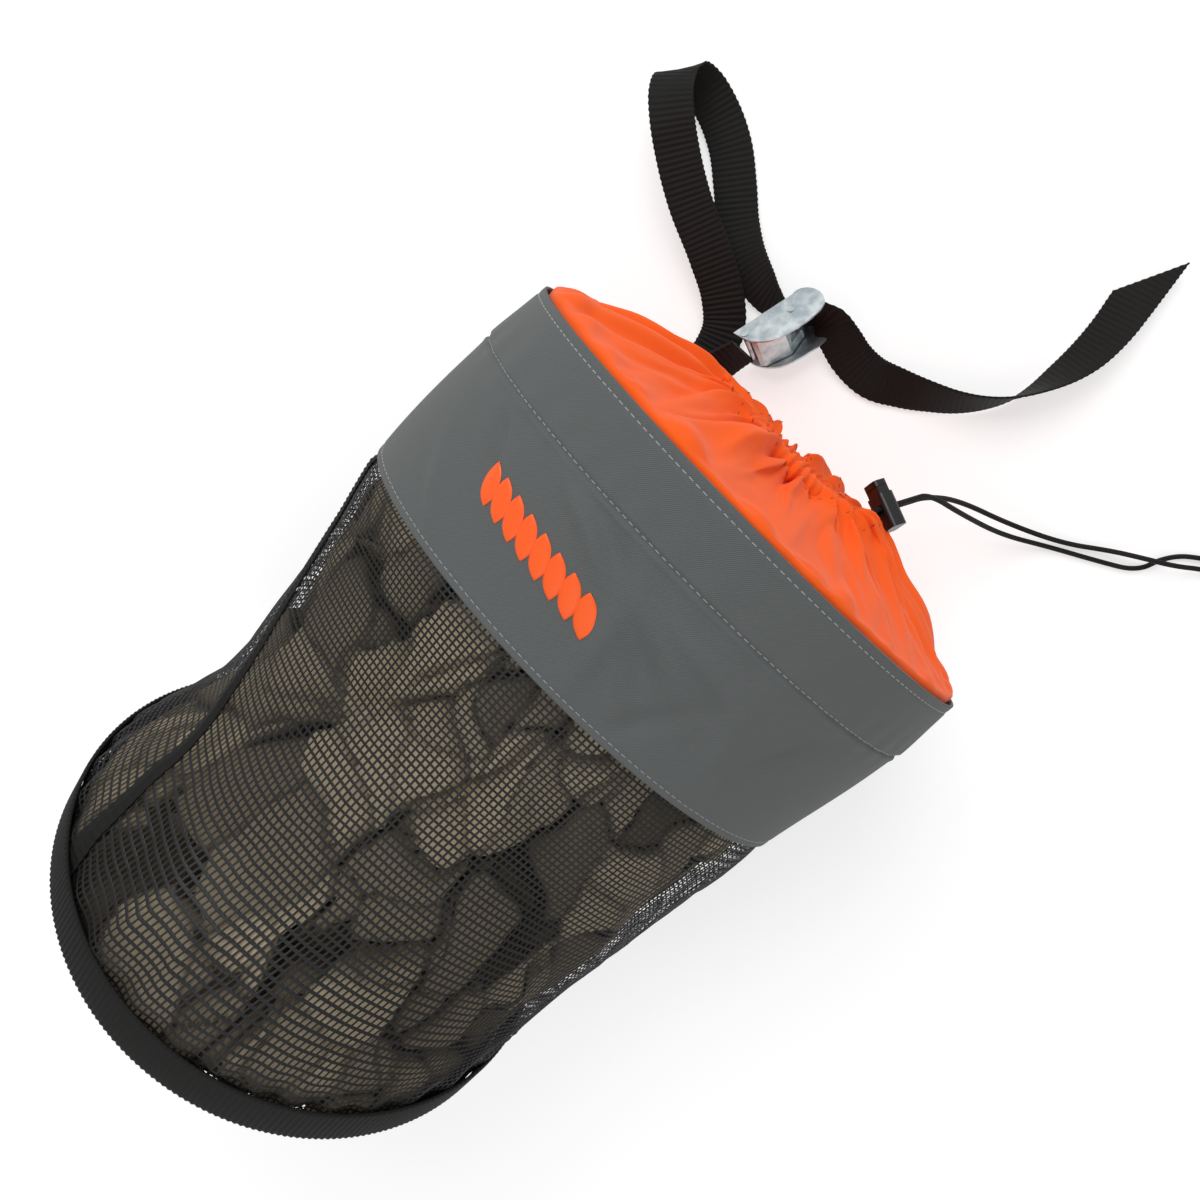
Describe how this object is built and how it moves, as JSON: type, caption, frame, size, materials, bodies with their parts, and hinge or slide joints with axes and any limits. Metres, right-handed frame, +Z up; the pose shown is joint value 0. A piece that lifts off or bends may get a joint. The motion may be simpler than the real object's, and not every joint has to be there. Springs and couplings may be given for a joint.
{
  "type": "drawstring rope bag",
  "caption": "Drawstring rope bag lying on its side: mesh body, woven top band, gathered collar with cord lock, webbing strap with cam buckle.",
  "frame": {"origin": "middle of the footprint of the bag and its strap, on the surface it lies on", "axes": "+X out of the mouth along the bag's axis, +Z up"},
  "size_m": [0.6358, 0.4466, 0.2679],
  "materials": {
    "band_cloth": "grey twill-woven nylon, matt",
    "mesh": "black open polyester mesh",
    "webbing": "black ribbed webbing",
    "binding": "black binding tape",
    "collar_cloth": "orange plain canvas, matt",
    "cord": "black braided cord",
    "black_plastic": "moulded acetal, satin",
    "spring_wire": "drawn spring wire",
    "thread": "bonded sewing thread",
    "zinc_plate": "bright zinc-plated stamped steel"
  },
  "bodies": {
    "bag": {"top_band": "band_cloth", "mesh_side_wall": "mesh", "mesh_base_panel": "mesh", "base_webbing_band": "webbing", "base_binding_tape": "binding", "side_seam_tape": "binding", "drawstring_collar": "collar_cloth", "collar_casing": "collar_cloth", "drawstring_loop": "cord", "drawstring_tail_upper": "cord", "drawstring_tail_lower": "cord", "tail_end_knot": "cord", "webbing_strap": "webbing", "buckle_tab": "webbing", "bar_tack_stitches": "thread", "buckle_frame": "zinc_plate", "cam_pin": "zinc_plate", "buckle_bar": "zinc_plate", "cam_spring": "spring_wire"},
    "cam": {"cam_lever": "zinc_plate"},
    "cord_lock": {"cord_lock_body": "black_plastic", "cord_lock_spring": "spring_wire"},
    "lock_button": {"cord_lock_plunger": "black_plastic"}
  },
  "joints": [
    {"name": "cam_lever_hinge", "type": "hinge", "parent": "bag", "child": "cam", "pos_m": [0.14377, 0.02095, 0.0191], "axis": [0.2071, 0.4878, 0.848], "range_deg": [0, 60], "stiffness_Nm_per_rad": 0.02, "springref_deg": -28.65},
    {"name": "cord_lock_slide", "type": "slide", "parent": "bag", "child": "cord_lock", "axis": [0.721, -0.4206, -0.5507], "range_m": [0, 0.012]},
    {"name": "lock_button_press", "type": "slide", "parent": "cord_lock", "child": "lock_button", "axis": [-0.328, -0.9072, 0.2634], "range_m": [0, 0.004], "stiffness_N_per_m": 150, "springref_m": -0.003, "deforming": ["cord_lock_spring"]}
  ]
}
